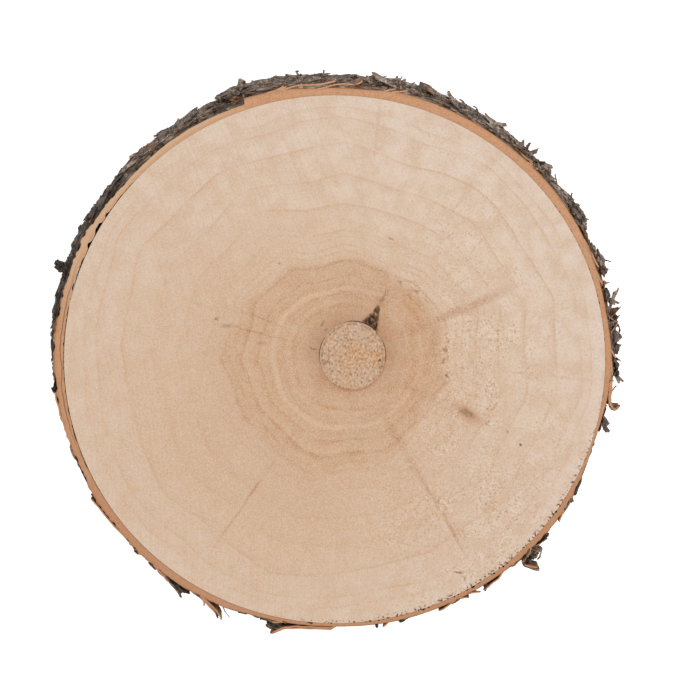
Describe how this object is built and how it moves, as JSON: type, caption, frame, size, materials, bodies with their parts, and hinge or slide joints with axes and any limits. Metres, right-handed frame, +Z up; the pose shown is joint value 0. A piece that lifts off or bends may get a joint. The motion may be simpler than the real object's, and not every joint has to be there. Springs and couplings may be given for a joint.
{
  "type": "wood slice",
  "caption": "Round slice sawn across a bark-clad log, lying flat, with a plugged pith, for use as a board, stand or base.",
  "frame": {"origin": "middle of the underside's outline box, on the surface that the slice lies on", "axes": "+Z up, square to both sawn faces; +X and +Y to the right and towards the top of the picture"},
  "size_m": [0.2546, 0.2532, 0.025],
  "materials": {
    "sawn_wood": "sawn end grain, lightly sanded, unfinished",
    "plug_wood": "coarse sawn end grain, unfinished",
    "inner_bark": "matte, cut across its layers",
    "outer_bark": "matte, rough and flaking"
  },
  "bodies": {
    "root": {"wood": "sawn_wood", "centre_plug": "plug_wood", "inner_bark": "inner_bark", "outer_bark": "outer_bark"}
  },
  "joints": []
}
